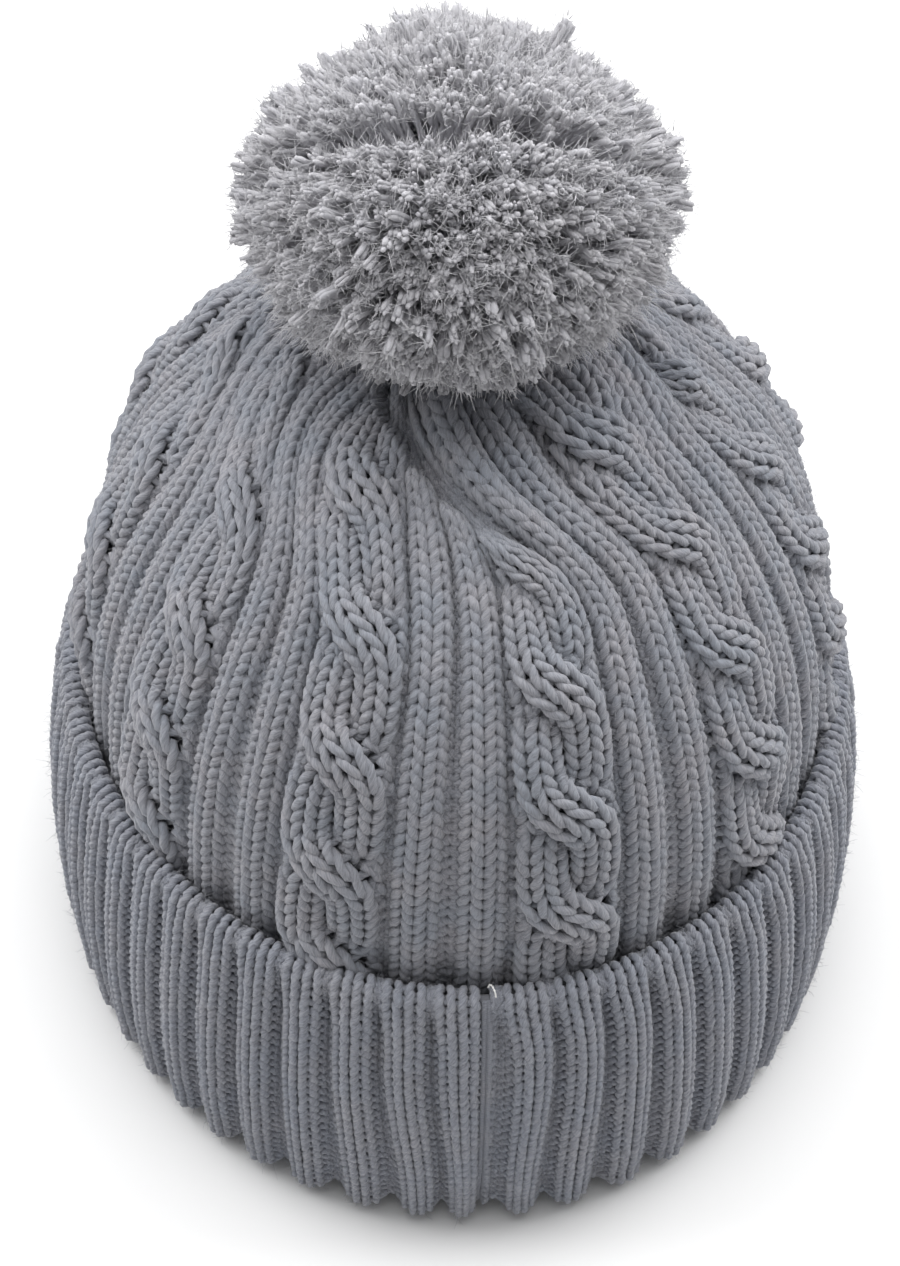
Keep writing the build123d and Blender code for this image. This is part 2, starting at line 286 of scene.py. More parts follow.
class Profile:
    """The middle of a fabric layer as a curve of half width and height, read by distance along it."""

    def __init__(self, points, flare=((0, 1), (0, 0))):
        points = np.asarray(points, float)
        steps = np.hypot(np.diff(points[:, 0]) * (1 + DEPTH_RATIO) / 2, np.diff(points[:, 1]))
        distance = np.concatenate([[0], np.cumsum(steps)])
        self.length = distance[-1]
        self.distance = np.linspace(0, self.length, 800)
        self.points = np.stack([np.interp(self.distance, distance, c) for c in points.T], -1)
        self.slopes = np.gradient(self.points, self.distance, axis=0)
        self.levels = np.linspace(0, self.length, 240)
        self.flare = flare

    def inside(self, along):
        """Distances kept just clear of the profile's ends."""
        return np.clip(along, 0.05, self.length - 0.05)

    def read(self, along):
        """Half width, height and their slopes."""
        columns = (self.points[:, 0], self.points[:, 1], self.slopes[:, 0], self.slopes[:, 1])
        return [np.interp(along, self.distance, c) for c in columns]

    def place(self, fraction, along, lift):
        """(points, outward normals) of the layer. The normal faces out where the profile climbs."""
        half, height, half_slope, height_slope = self.read(along)
        from_back = (fraction + 0.5) % 1.0 - 0.5
        half = half + np.interp(along / self.length, *self.flare) * np.exp(-((from_back / 0.14) ** 2))
        angle = ring_angle(fraction)
        sine, cosine = np.sin(angle), np.cos(angle)
        base = np.stack([half * sine, -DEPTH_RATIO * half * cosine, height + 0 * sine], -1)
        across, back = DEPTH_RATIO * height_slope * sine, -height_slope * cosine
        normal = unit(np.stack([across, back, -DEPTH_RATIO * half_slope + 0 * sine], -1))
        return base + normal * lift[..., None], normal


def inward(points, distance):
    """The curve moved to its left by a distance."""
    slope = unit(np.gradient(points, axis=0))
    return points + distance * np.stack([-slope[:, 1], slope[:, 0]], -1)


def arc_through(first, middle, last, steps=40):
    """Points of a gentle arc through three points, as a quadratic in height."""
    heights = np.linspace(first[1], last[1], steps)
    curve = np.polyfit([first[1], middle[1], last[1]], [first[0], middle[0], last[0]], 2)
    return np.stack([np.polyval(curve, heights), heights], -1)


def crown_profile():
    """From behind the cuff up to the gather hole."""
    end_level = (1 - (GATHER_RADIUS / CROWN_HALF_WIDTH) ** 2) ** (1 / CROWN_ROUNDNESS)
    level = end_level * (1 - (1 - np.linspace(0, 1, 200)) ** 2)
    half = CROWN_HALF_WIDTH * np.sqrt(1 - level**CROWN_ROUNDNESS)
    dome = np.stack([half, CROWN_BASE + (CROWN_TOP - CROWN_BASE) * level], -1)
    skirt = np.stack([np.full(20, CROWN_HALF_WIDTH), np.linspace(CROWN_START, CROWN_BASE - 1, 20)], -1)
    return Profile(inward(np.concatenate([skirt, dome]), CROWN_HALF_THICKNESS))


def cuff_profile():
    """From the cast-on edge over the rim, down the outside, round the fold and up to the band."""
    wall = inward(arc_through(CUFF_UNDER_RIM, CUFF_MID, CUFF_OVER_FOLD), -CUFF_HALF_THICKNESS)
    turn = np.linspace(np.radians(165), 0, 24)[:-1]
    rolled = RIM_RADIUS * np.stack([np.cos(turn), 1.15 * np.sin(turn)], -1)
    rim = wall[0] + [-RIM_RADIUS, 0.6] + rolled
    fold_centre = (wall[-1] + BAND_BOTTOM) / 2
    fold_half = (wall[-1][0] - BAND_BOTTOM[0]) / 2
    turn = np.linspace(0, np.pi, 30)[1:-1]
    drop = FOLD_DROP * np.sin(turn) ** 0.6
    fold = np.stack([fold_centre[0] + fold_half * np.cos(turn), CUFF_OVER_FOLD[1] - drop], -1)
    flare = ((0, 0.3, 0.7, 0.9, 1), (0, 0.3 * CUFF_FLARE, CUFF_FLARE, CUFF_FLARE, 0.2 * CUFF_FLARE))
    return Profile(np.concatenate([rim, wall, fold, [BAND_BOTTOM]]), flare)


def band_profile():
    """From the fold up behind the cuff to the crown."""
    return Profile(arc_through(BAND_BOTTOM, BAND_MID, BAND_TOP))


# --- Stitch layout ---
def smooth_step(value):
    """0 below 0, 1 above 1, smooth between."""
    value = np.clip(value, 0, 1)
    return value * value * (3 - 2 * value)


class Layout:
    """Columns of stitches round the hat: raised ribs of knit columns with sunk purl columns between.

    Each level of the profile has its own share of the ring for every column, kept as a grid. purl and
    relief hold, for every level, how wide the purl columns are and how strong the ribs stand out.
    """

    def __init__(self, profile, kinds, widths, repeats, start, purl, relief, rise, sink):
        self.profile = profile
        self.kinds = np.array([kind == "k" for kind in kinds])
        self.columns = len(kinds) * repeats
        self.per_column = 4
        self.start = start
        self.turn = 1.0
        cells = np.arange(self.columns * self.per_column)
        kind = self.kinds[(cells // self.per_column) % len(kinds)]
        self.width = np.array(widths, float)[(cells // self.per_column) % len(kinds)] / self.per_column
        self.full = self.width.sum()
        self.weight = np.where(kind[None], 1.0, purl[:, None])
        self.fold = np.zeros((len(profile.levels), len(cells) + 1))
        self.relief = relief
        self.centres = np.arange(-1, len(kinds) + 1) + 0.5
        kind_round = np.concatenate([self.kinds[-1:], self.kinds, self.kinds[:1]])
        self.face = np.where(kind_round, 1.0, -1.0)
        self.rise = np.where(kind_round, rise, -sink)

    def narrow(self):
        """How narrow the profile is at every level, beside its start."""
        half = self.profile.read(self.profile.levels)[0]
        return half / half[0]

    def add_folds(self, folds):
        """Hides fabric in folds, each a row of FOLDS, and spreads it beside the main one."""
        place = np.concatenate([[0], np.cumsum(self.width)]) + self.start
        hidden = np.zeros_like(self.fold)
        for left, right, opening, starts in folds:
            closing = np.clip((starts - self.narrow()) / FOLD_RUN, 0, 1)[:, None]
            middle = opening + ((left + right) / 2 - opening) * closing
            width = (right - left) / 2 * closing
            away = (place - middle + self.full / 2) % self.full - self.full / 2
            edge = 1.5 + 0.10 * width
            box = 0.5 * (np.tanh((away + width) / edge) - np.tanh((away - width) / edge))
            box = box * np.minimum(closing * 5, 1)
            hidden = np.maximum(hidden, box)
            lip = np.exp(-(((away - width - 7) / 6) ** 2))
            lip = lip + 0.4 * np.exp(-(((away + width + 6) / 5) ** 2))
            raised = FOLD_LIP * min((right - left) / 40, 1) * lip * np.minimum(closing * 4, 1)
            self.fold += raised - FOLD_DEPTH * box * np.minimum(closing * 2, 1)
        self.weight = self.weight * (1 - FOLD_HIDES * (hidden[:, 1:] + hidden[:, :-1]) / 2)
        middles = (place[1:] + place[:-1]) / 2
        for left, right, gain in SPREAD:
            soft = 0.5 * (np.tanh((middles - left) / 8) - np.tanh((middles - right) / 8))
            self.weight *= 1 + gain * soft * np.interp(self.narrow(), SPREAD_NARROWING, (1, 0))[:, None]

    def settle(self, main_fold=None, gap=0.0):
        """Shares out the ring. main_fold moves the back seam round, gap leaves some of the ring free."""
        cell = self.weight * self.width
        share = np.cumsum(np.pad(cell, ((0, 0), (1, 0))), axis=1) / cell.sum(1, keepdims=True)
        if self.start < 0:
            place = np.concatenate([[0], np.cumsum(self.width)]) + self.start
            share -= np.array([np.interp(0.0, place, row) for row in share])[:, None]
        else:
            share = share * (1 - gap) + self.start / self.full
        if main_fold is not None:
            shift = np.interp(self.narrow(), *main_fold)
            shift = np.convolve(np.pad(shift, 8, "edge"), np.full(17, 1 / 17), "valid")
            pairs = zip(share, shift)
            old = (-0.5, 0, 0.5, 1)
            share = np.array([np.interp(row, old, (-0.5, moved, 0.5, 1 + moved)) for row, moved in pairs])
            even = np.hanning(FOLD_SMOOTHING)[1:-1] / np.hanning(FOLD_SMOOTHING).sum()
            padded = np.pad(share, ((len(even) // 2, len(even) // 2), (0, 0)), "edge")
            share = np.apply_along_axis(lambda column: np.convolve(column, even, "valid"), 0, padded)
        self.share, self.turn = share, 1 - gap
        room = self.profile.read(self.profile.levels)[0] * RING_LENGTH
        scale = np.diff(share, axis=1) * room[:, None] / self.width
        self.scale = np.concatenate([scale, scale[:, :1]], axis=1)
        return self

    def sample(self, grid, column, along):
        """A grid's value between its columns and levels."""
        column, along = np.broadcast_arrays(column, along)
        across = (column % self.columns) * self.per_column
        up = np.clip(along / self.profile.length, 0, 1) * (len(grid) - 1)
        left, low = np.floor(across).astype(int), np.minimum(np.floor(up).astype(int), len(grid) - 2)
        left = np.minimum(left, grid.shape[1] - 2)
        x, y = across - left, up - low
        lower = grid[low, left] * (1 - x) + grid[low, left + 1] * x
        upper = grid[low + 1, left] * (1 - x) + grid[low + 1, left + 1] * x
        return lower * (1 - y) + upper * y

    def fraction(self, column, along):
        """Fraction round the hat of a column coordinate."""
        return self.sample(self.share, column, along) + np.floor(column / self.columns) * self.turn

    def square_up(self, column, centre, along):
        """(fraction, distance) with the rows turned square to a rib or cable that runs aslant."""
        room = self.profile.read(along)[0] * RING_LENGTH
        middle = self.fraction(centre, along)
        slant = (self.fraction(centre, along + 1.5) - self.fraction(centre, along - 1.5)) / 3.0 * room
        slant = np.clip(slant, -1.2, 1.2)
        beside = (self.fraction(column, along) - middle) / (1 + slant**2)
        return middle + beside, self.profile.inside(along - slant * beside * room)

    def narrowing(self, column, along):
        """How much smaller stitches get where the hat narrows."""
        return np.clip(self.sample(self.scale, column, along), 0.45, 1.0) ** 0.6

    def facing(self, column):
        """1 in knit columns and -1 in purl columns, with a quick change between."""
        soft = np.interp(column % len(self.kinds), self.centres, self.face)
        return np.clip(soft * 2.2, -1, 1)

    def height(self, column, along):
        """Lift of the fabric's middle: ribs up, purl columns down, folds deep."""
        ribs = np.interp(column % len(self.kinds), self.centres, self.rise)
        relief = np.interp(along, self.profile.levels, self.relief)
        return ribs * relief + self.sample(self.fold, column, along)


def loop_across(phase, lean):
    """How far along its row the yarn has come at a phase, in columns: once round each stitch."""
    return (phase + lean * np.sin(2 * phase)) / (2 * np.pi)


def wander(shape, size, smooth=9):
    """Small seeded unevenness along the last axis."""
    values = random.normal(0, 1, shape)
    kernel = np.hanning(smooth + 2)[1:-1]
    kernel /= np.sqrt((kernel**2).sum())
    values = np.apply_along_axis(lambda row: np.convolve(row, kernel, "same"), -1, values)
    return values * size


def knit_rows(layout, starts, columns, first, stitch, sign=1.0, middle_of=None):
    """(points, radii, normals) of the yarn of rows that start at these distances along the profile.

    middle_of gives the middle column of the rib at a column, if rows turn square to slanting ribs.
    """
    phase = np.arange(int(columns * LOOP_SAMPLES) + 1) * (2 * np.pi / LOOP_SAMPLES)
    shape = (len(starts), len(phase))
    along = starts[:, None] - stitch.reach * np.cos(phase) + wander(shape, UNEVEN_ALONG)
    along = layout.profile.inside(along)
    column = first + loop_across(phase, stitch.lean) + wander(shape, UNEVEN_ACROSS)
    narrow = layout.narrowing(column, along)
    loop = stitch.depth * layout.facing(column) * np.cos(2 * phase)
    lift = sign * (layout.height(column, along) - loop * narrow) + wander(shape, UNEVEN_LIFT)
    fraction = layout.fraction(column, along)
    if middle_of is not None:
        fraction, along = layout.square_up(column, middle_of(column), along)
    points, normals = layout.profile.place(fraction, along, lift)
    radii = stitch.yarn * narrow * (1 + wander(shape, 0.03, 7))
    return points, radii, normals


# --- Materials ---
PLIES = 3
PLY_TWIST = 0.42  # turns in each millimetre of yarn
FIBRE_STRETCH = 9.0  # how much finer the fibres are across the yarn than along it
YARN_SHADER = {
    "Roughness": 0.92,
    "Specular_IOR_Level": 0.18,
    "Sheen_Weight": 0.22,
    "Sheen_Roughness": 0.55,
}
POMPOM_SHADER = {
    "Subsurface_Weight": 0.2,
    "Subsurface_Radius": (1, 1, 1),
    "Subsurface_Scale": 0.002,
    "Specular_IOR_Level": 0.05,
    "Sheen_Weight": 0.12,
}
# Dark, light and cool colour of each yarn
KNIT_COLOURS = (0.19, 0.195, 0.22), (0.33, 0.325, 0.35), (0.265, 0.285, 0.325)
CUFF_COLOURS = (0.17, 0.175, 0.205), (0.32, 0.325, 0.355), (0.27, 0.29, 0.335)
POMPOM_COLOURS = (0.47, 0.465, 0.49), (0.60, 0.59, 0.62), (0.54, 0.54, 0.58)


def set_values(made, values):
    """Sets a node's inputs, from numbers or other nodes, or its properties. Names have _ for spaces."""
    for key, value in values.items():
        name = key.replace("_", " ")
        if name not in made.inputs:
            setattr(made, key, value)
        elif isinstance(value, bpy.types.NodeSocket):
            made.id_data.links.new(value, made.inputs[name])
        else:
            made.inputs[name].default_value = value


def node(tree, kind, output=0, **values):
    """Adds a shader node with these values and returns one of its outputs."""
    made = tree.nodes.new(kind)
    set_values(made, values)
    return made.outputs[output]


def calculate(tree, operation, *values):
    """Output of a math node of numbers or outputs of other nodes."""
    made = tree.nodes.new("ShaderNodeMath")
    made.operation = operation
    for slot, value in zip(made.inputs, values):
        if isinstance(value, bpy.types.NodeSocket):
            tree.links.new(value, slot)
        else:
            slot.default_value = value
    return made.outputs[0]


def noise(tree, place, **values):
    """Noise from 0 to 1 at a place."""
    return node(tree, "ShaderNodeTexNoise", "Fac", Vector=place, **values)


def blend(tree, share, first, second):
    """Colour between two colours, or between a colour and the output of a node."""
    return node(tree, "ShaderNodeMix", "Result", data_type="RGBA", Factor=share, A=first, B=second)


def new_material(name, **values):
    """(material, node tree, shader) with these inputs of the shader set."""
    material = bpy.data.materials.new(name)
    material.use_nodes = True
    shader = material.node_tree.nodes["Principled BSDF"]
    set_values(shader, values)
    return material, material.node_tree, shader


def yarn_material(name, dark, light, cool, **values):
    """Heathered acrylic yarn with twisted plies and fine fibres, in colours and other shader values."""
    material, tree, shader = new_material(name, **YARN_SHADER)
    place = tree.nodes.new("ShaderNodeSeparateXYZ")
    tree.links.new(node(tree, "ShaderNodeUVMap", uv_map="Yarn"), place.inputs[0])
    along = place.outputs["X"]
    around = calculate(tree, "MULTIPLY", along, PLY_TWIST)
    around = calculate(tree, "ADD", around, place.outputs["Y"])
    wave = calculate(tree, "SINE", calculate(tree, "MULTIPLY", around, PLIES * 2 * np.pi))
    across = calculate(tree, "MULTIPLY", around, FIBRE_STRETCH)
    fibre_place = node(tree, "ShaderNodeCombineXYZ", X=along, Y=across)
    fibre = noise(tree, fibre_place, Scale=1.5, Detail=3.0, Roughness=0.7)
    relief = calculate(tree, "MULTIPLY_ADD", wave, 0.20, fibre)
    where = node(tree, "ShaderNodeTexCoord", "Object")
    patches = noise(tree, where, Scale=85.0, Detail=3.0, Roughness=0.6)
    patch = node(tree, "ShaderNodeMapRange", Value=patches, From_Min=0.34, From_Max=0.66)
    strand = node(tree, "ShaderNodeMapRange", Value=fibre, From_Min=0.36, From_Max=0.58)
    hue = blend(tree, patch, (*light, 1), (*cool, 1))
    colour = blend(tree, strand, (*dark, 1), hue)
    bump = node(tree, "ShaderNodeBump", Strength=0.75, Distance=0.0003, Height=relief)
    set_values(shader, {"Base_Color": colour, "Normal": bump, **values})
    return material


def plain_material(name, colour, roughness, sheen=0.0):
    """Fine cloth or thread with a faint grain."""
    material, tree, shader = new_material(name, Roughness=roughness, Sheen_Weight=sheen)
    where = node(tree, "ShaderNodeTexCoord", "Object")
    grain = noise(tree, where, Scale=1800.0, Detail=2.0)
    tone = blend(tree, grain, (*[c * 0.86 for c in colour], 1), (*colour, 1))
    bump = node(tree, "ShaderNodeBump", Strength=0.3, Distance=0.0001, Height=grain)
    set_values(shader, {"Base_Color": tone, "Normal": bump})
    return material


knit_yarn = yarn_material("knit_yarn", *KNIT_COLOURS)
cuff_yarn = yarn_material("cuff_yarn", *CUFF_COLOURS)
pompom_yarn = yarn_material("pompom_yarn", *POMPOM_COLOURS, **POMPOM_SHADER)
backing_wool = plain_material("backing_wool", (0.20, 0.204, 0.225), 0.95, 0.1)
fibre_wool = plain_material("fibre_wool", (0.36, 0.365, 0.40), 0.9, 0.1)
pompom_fibre = plain_material("pompom_fibre", (0.60, 0.595, 0.62), 0.95, 0.05)
white_thread = plain_material("white_thread", (0.82, 0.82, 0.80), 0.5)
satin = plain_material("satin", (0.80, 0.80, 0.78), 0.35, 0.1)


def finish_piece(piece, material, body, *replaced):
    """Gives a piece its material and body, and hides the CAD nodes it stands for."""
    piece.data.materials.append(material)
    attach(piece, body)
    if replaced:
        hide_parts(*replaced)
    return piece


# --- Crown ---
crown = crown_profile()
rib = [RIB_STITCH] * 2
crown_widths = [CABLE_STITCH] * 4 + [CABLE_PURL] + rib + [RIB_PURL] + rib + [CABLE_PURL]
crown_half = crown.read(crown.levels)[0] / crown.points[0, 0]
crown_layout = Layout(
    crown,
    CROWN_KINDS,
    crown_widths,
    CROWN_REPEATS,
    start=CABLE_OFFSET - CABLE_MIDDLE * CABLE_STITCH,
    purl=np.interp(crown_half, (0.5, 1.0), (0.06, 1.0)),
    relief=np.ones(len(crown.levels)),
    rise=CROWN_RIB_RISE,
    sink=CROWN_PURL_SINK,
)
crown_layout.add_folds(FOLDS)
crown_layout.settle(main_fold=(MAIN_FOLD_NARROWING, MAIN_FOLD_FRACTION))


def rib_middle(column):
    """Middle column of the rib at a column of the crown."""
    return np.where(column % PATTERN < RIB_BORDER, *RIB_MIDDLES) + np.floor(column / PATTERN) * PATTERN


def build_crown():
    """Panels of two ribs between cables, each row one yarn, then the two strands of each cable."""
    rows = np.arange(CROWN_FIRST_ROW, crown.length - CROWN_LAST_GAP, CROWN_ROW)
    panels = []
    for repeat in range(CROWN_REPEATS):
        first = repeat * PATTERN + PANEL_START
        panels.append(knit_rows(crown_layout, rows, PANEL_COLUMNS, first, CROWN_STITCH, 1.0, rib_middle))
    points, radii, normals = [np.concatenate(parts) for parts in zip(*panels)]
    ribs = add_tubes("crown_ribs", points, radii, normals, length=60.0)
    strands = [cable_strand(repeat, strand, rows) for repeat in range(CROWN_REPEATS) for strand in (0, 1)]
    points, radii, normals = [np.concatenate(parts) for parts in zip(*strands)]
    cables = add_tubes("crown_cables", points, radii, normals, length=26.0)
    return ribs, cables


def cable_strand(repeat, strand, rows):
    """Rows of a two-stitch strand, which crosses over its partner from upper left to lower right."""
    phase = np.arange(-4, 2 * LOOP_SAMPLES + 5) * (2 * np.pi / LOOP_SAMPLES)
    shape = (len(rows), len(phase))
    across = loop_across(phase, CROWN_STITCH.lean) - 1 + wander(shape, UNEVEN_ACROSS)
    along = rows[:, None] - CROWN_STITCH.reach * np.cos(phase) + wander(shape, UNEVEN_ALONG)
    turn = np.pi * (along / CABLE_TURN + strand + CABLE_PHASE + CABLE_PHASE_STEP * repeat)
    quick = 1 - 2 * CABLE_SNAP * np.cos(2 * turn)
    turn = turn - CABLE_SNAP * np.sin(2 * turn)
    swing = CABLE_STITCH * CABLE_SWING
    tilt = np.arctan(-swing * np.sin(turn) * quick * np.pi / CABLE_TURN)
    middle = repeat * PATTERN + CABLE_MIDDLE
    column = middle + np.cos(turn) * swing / CABLE_STITCH + across * np.cos(tilt)
    along = crown.inside(along - across * CABLE_STITCH * np.sin(tilt))
    edge = np.abs(across)
    dome = CABLE_DOME - CABLE_FALL * edge**CABLE_FALL_POWER + CABLE_OVER * np.sin(turn)
    tuck = -CABLE_TUCK * np.clip(edge - 0.95, 0, 1)
    narrow = crown_layout.narrowing(column, along)
    fold = crown_layout.sample(crown_layout.fold, column, along)
    lift = fold + narrow * (dome + tuck - np.cos(2 * phase)) + wander(shape, UNEVEN_LIFT)
    fraction, along = crown_layout.square_up(column, np.full(shape, middle), along)
    points, normals = crown.place(fraction, along, lift)
    return points, CABLE_YARN * narrow, normals


# --- Cuff and band ---
cuff = cuff_profile()
band = band_profile()


def rib_layout(profile, purl, relief):
    """Ribbing that narrows and widens evenly with its layer, with a gap for the seam."""
    share = profile.levels / profile.length
    purl, relief = np.interp(share, *purl), np.interp(share, *relief)
    layout = Layout(
        profile,
        RIB_KINDS,
        [CUFF_PURL] * 2 + [CUFF_KNIT] * 2,
        CUFF_REPEATS,
        SEAM_RIGHT,
        purl,
        relief,
        CUFF_RIB_RISE,
        CUFF_PURL_SINK,
    )
    layout.weight[:, : 2 * layout.per_column] *= FIRST_GAP
    layout.settle(gap=(SEAM_RIGHT - SEAM_LEFT) / (CUFF_MID[0] * RING_LENGTH))
    beside = ((layout.share + 0.5) % 1 - 0.5) / PINCH_WIDTH
    layout.share -= PINCH * beside * np.exp(-(beside**2)) * smooth_step((share - 0.25) / 0.5)[:, None]
    return layout


def build_ribbing(name, layout, sign, margin):
    """Rows of ribbing from one side of the back seam round to the other."""
    rows = np.arange(margin, layout.profile.length - 2.0, CUFF_ROW)
    columns = CUFF_REPEATS * len(RIB_KINDS)
    points, radii, normals = knit_rows(layout, rows, columns, 0.0, CUFF_STITCH, sign)
    return add_tubes(name, points, radii, normals, length=8.0 * columns, wraps=4)


# --- Backing that closes the gaps between stitches ---
def build_backing(name, layout, sign, low, high, thickness=0.5, depth=0.9):
    """A closed thin sheet in the middle of a knitted layer."""
    columns = np.arange(layout.columns * 2 + 1) / 2
    along = np.linspace(low, high, 60)
    column, along = np.meshgrid(columns[:-1], along)
    lift = sign * (np.minimum(layout.height(column, along), 0) - depth)
    fraction = layout.fraction(column, along)
    outer, _ = layout.profile.place(fraction, along, lift)
    inner, _ = layout.profile.place(fraction, along, lift - sign * thickness)
    rows, count = outer.shape[:2]
    points = np.concatenate([outer.reshape(-1, 3), inner.reshape(-1, 3)])
    index = np.arange(rows * count).reshape(rows, count)
    beside = np.roll(index, -1, axis=1)
    front = faces_between(index[:-1], beside[:-1], beside[1:], index[1:])
    back = faces_between(index[:-1], index[1:], beside[1:], beside[:-1]) + rows * count
    foot = faces_between(index[0], index[0] + rows * count, beside[0] + rows * count, beside[0])
    head = faces_between(index[-1], beside[-1], beside[-1] + rows * count, index[-1] + rows * count)
    quads = np.concatenate([front, back, foot, head])
    if sign < 0:
        quads = quads[:, ::-1]
    flat_u = np.concatenate([column.reshape(-1)] * 2) / columns[-1]
    flat_v = np.concatenate([along.reshape(-1), along.reshape(-1) + high]) / (2 * high)
    uv = np.stack([flat_u[quads], flat_v[quads]], -1)
    wrapped = (uv[..., 0].max(1) - uv[..., 0].min(1)) > 0.5
    uv[wrapped, :, 0] = np.where(uv[wrapped, :, 0] < 0.5, 1.0, uv[wrapped, :, 0])
    return add_mesh(name, points, quads, uvs={"OFBake": uv})


# --- Pom-pom ---
def sphere_directions(count):
    """Evenly spread directions, a little uneven."""
    index = np.arange(count) + 0.5
    height = 1 - 2 * index / count
    turn = index * np.pi * (3 - 5**0.5)
    flat = np.sqrt(1 - height**2)
    directions = np.stack([flat * np.cos(turn), flat * np.sin(turn), height], -1)
    return unit(directions + random.normal(0, 0.035, directions.shape))


def strand_bundle(name, ends, starts, radius, splay, bend):
    """Cut strands from starts to ends, each of three plies that twist and then part at the cut end."""
    count = len(ends)
    step = np.array(STRAND_STEPS)
    path = starts[:, None] + (ends - starts)[:, None] * step[:, None]
    away = unit(ends - starts)
    side = unit(np.cross(away, random.normal(0, 1, (count, 3))))
    other = np.cross(away, side)
    sway = random.normal(0, bend, (count, 1, 1)) * np.sin(step * np.pi)[None, :, None]
    curl = random.normal(0, bend * 0.8, (count, 1, 1)) * (step**3)[None, :, None]
    path = path + sway * side[:, None] + curl * other[:, None]
    length = np.linalg.norm(ends - starts, axis=1)
    open_end = smooth_step((step - 0.85) / 0.15)
    thick = radius * (1 + 0.16 * random.normal(0, 1, (count, 1)))
    lines, radii = [], []
    for ply in range(3):
        turn = 2 * np.pi * ply / 3 + 0.30 * length[:, None] * np.minimum(step, 0.9)
        spread = 0.8 * thick + splay * random.random((count, 1)) * open_end
        around = np.cos(turn)[..., None] * side[:, None] + np.sin(turn)[..., None] * other[:, None]
        ragged = (step > 0.99) * random.normal(0, 0.5, (count, 1))
        lines.append(path + around * spread[..., None] + away[:, None] * ragged[..., None])
        uneven = 1 + 0.10 * random.normal(0, 1, (count, len(step)))
        radii.append(thick * uneven * (1 + 0.12 * open_end - 0.40 * (step > 0.99)))
    lines, radii = np.concatenate(lines), np.concatenate(radii)
    across = np.broadcast_to(np.concatenate([side] * 3)[:, None], lines.shape)
    return add_tubes(name, lines, radii, across, sides=5, length=40.0), path


def fibres(name, roots, directions, length, radius):
    """Fine loose fibres, each a thin bent cone."""
    count = len(roots)
    step = np.array([0, 0.55, 1.0])
    reach = length * (0.5 + random.random((count, 1, 1)))
    bend = random.normal(0, 0.45, (count, 1, 3)) * (step**2)[None, :, None]
    lines = roots[:, None] + reach * (directions[:, None] * step[:, None] + bend)
    across = unit(np.cross(directions, random.normal(0, 1, (count, 3))))
    across = np.broadcast_to(across[:, None], lines.shape)
    radii = np.broadcast_to(radius * (1 - 0.6 * step), lines.shape[:2])
    return add_tubes(name, lines, radii, across, sides=3, length=4.0)


def pompom_ends(directions):
    """Where strands in these directions are cut: a flattened ball of tufts, parted across its top."""
    clumps = unit(random.normal(0, 1, (POMPOM_TUFTS, 3)))
    nearest = np.argmax(directions @ clumps.T, axis=1)
    leaning = directions + TUFT_PULL * (clumps[nearest] - directions)
    leaning = leaning + STRAND_SCATTER * random.normal(0, 1, directions.shape)
    behind = leaning @ POMPOM_PARTING
    upper = smooth_step((leaning[:, 2] + 0.1) / 0.5)
    push = np.sign(behind) * np.exp(-np.abs(behind) / PARTING_WIDTH) * PARTING_PUSH * upper
    leaning = unit(leaning + push[:, None] * POMPOM_PARTING)
    length = 1 + 0.035 * random.normal(0, 1, len(directions)).clip(-2, 1.8)
    length += 0.04 * random.normal(0, 1, POMPOM_TUFTS)[nearest] + 0.02 * (behind > 0) * upper
    length += 0.05 * (behind > 0.3) * np.exp(-(((leaning[:, 0] + 0.08) / 0.22) ** 2))
    height = np.where(leaning[:, 2] > 0, POMPOM_UPPER, POMPOM_LOWER)
    width = np.full(len(height), POMPOM_RADIUS)
    size = np.stack([width, width, height], -1)
    return leaning * size * length[:, None]


def build_pompom():
    """Strands of the pom-pom, kept above its flat underside, and the fluff of their cut ends."""
    directions = sphere_directions(POMPOM_STRANDS)
    strays = unit(POMPOM_STRAY + 0.10 * random.normal(0, 1, (STRAY_COUNT, 3)))
    ends = pompom_ends(directions)
    stray_ends = strays * random.uniform(*STRAY_LENGTHS, (STRAY_COUNT, 1))
    ends = np.concatenate([ends, stray_ends]) + POMPOM_CENTRE
    starts = POMPOM_CENTRE + POMPOM_CORE * np.concatenate([directions, strays]) * [1, 1, 0.6]
    low = ends[:, 2] < POMPOM_UNDERSIDE + 1
    ends[low, 2] = POMPOM_UNDERSIDE + 1 + 2.0 * random.random(low.sum())
    strands, path = strand_bundle("pompom_strands", ends, starts, STRAND_RADIUS, 0.15, 2.4)
    return strands, end_fluff("pompom_fluff", path)


def end_fluff(name, path):
    """Fibres that stand off the last part of every strand."""
    tips = np.repeat(path[:, -1], FLUFF_PER_STRAND, axis=0)
    below = np.repeat(path[:, -5], FLUFF_PER_STRAND, axis=0)
    back = random.random((len(tips), 1)) ** 1.6
    away = unit(tips - below)
    sideways = random.normal(0, 0.7, tips.shape)
    roots = tips + (below - tips) * back + 0.7 * sideways
    return fibres(name, roots, unit(0.8 * away + sideways), FLUFF_LENGTH, FLUFF_RADIUS)


def crown_skin(radius, angle):
    """Height of the crown's skin at a distance from its axis."""
    half = radius * np.sqrt(np.cos(angle) ** 2 + (np.sin(angle) / DEPTH_RATIO) ** 2)
    level = (1 - (half / CROWN_HALF_WIDTH) ** 2) ** (1 / CROWN_ROUNDNESS)
    return CROWN_BASE + (CROWN_TOP - CROWN_BASE) * level


